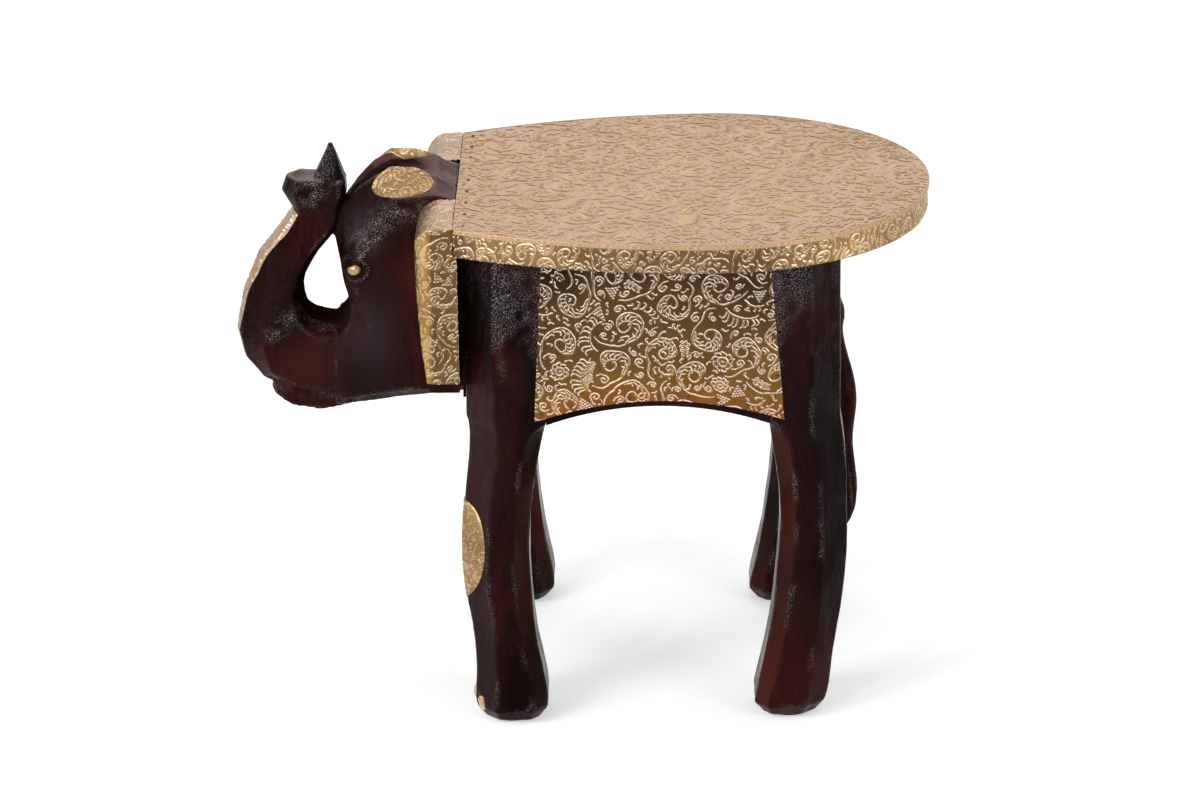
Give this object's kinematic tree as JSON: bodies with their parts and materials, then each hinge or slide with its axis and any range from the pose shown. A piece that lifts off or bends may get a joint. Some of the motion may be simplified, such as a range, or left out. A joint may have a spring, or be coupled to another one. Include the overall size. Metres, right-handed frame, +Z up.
{
  "type": "carved elephant stool",
  "caption": "Low stool carved as an elephant: horseshoe seat, carved legs, raised trunk and ears, chased brass sheet over seat and sides.",
  "frame": {"origin": "on the floor, under the middle of the whole outline", "axes": "+Z up, +X from the head towards the tail, -Y is the elephant's left side"},
  "size_m": [0.4139, 0.248, 0.329],
  "materials": {
    "carved_wood": "hand-carved hardwood, dark red-brown gloss lacquer",
    "dowel_wood": "plain turned hardwood, glued in",
    "seat_brass": "chased brass sheet, fine all-over scrollwork, satin",
    "edge_brass": "chased brass strip, satin, aged",
    "side_brass": "chased brass sheet, raised scrolls on a darkened ground",
    "ear_brass": "chased brass sheet, satin, aged",
    "plate_brass": "chased brass sheet, satin",
    "stud_brass": "domed brass, polished",
    "pad_black": "matt black glide pad",
    "steel": "plain countersunk steel"
  },
  "bodies": {
    "root": {"seat_board": "carved_wood", "seat_edge_band": "edge_brass", "seat_top_sheet": "seat_brass", "seat_screws": "steel", "leg_front_left": "carved_wood", "leg_front_right": "carved_wood", "leg_rear_left": "carved_wood", "leg_rear_right": "carved_wood", "toe_studs_left": "stud_brass", "toe_studs_right": "stud_brass", "foot_pads": "pad_black", "knee_plate_left": "plate_brass", "knee_plate_right": "plate_brass", "side_apron_left": "carved_wood", "side_apron_right": "carved_wood", "side_sheet_left": "side_brass", "side_sheet_right": "side_brass", "front_apron": "carved_wood", "rear_apron": "carved_wood", "tail": "carved_wood", "tail_peg": "dowel_wood", "head": "carved_wood", "eye_left": "stud_brass", "eye_right": "stud_brass", "ear_left": "carved_wood", "ear_right": "carved_wood", "ear_sheet_left": "ear_brass", "ear_sheet_right": "ear_brass", "brow_plate_left": "plate_brass", "brow_plate_right": "plate_brass", "trunk_plate": "plate_brass", "apron_dowels": "dowel_wood", "head_dowels": "dowel_wood", "ear_dowels": "dowel_wood"}
  },
  "joints": []
}
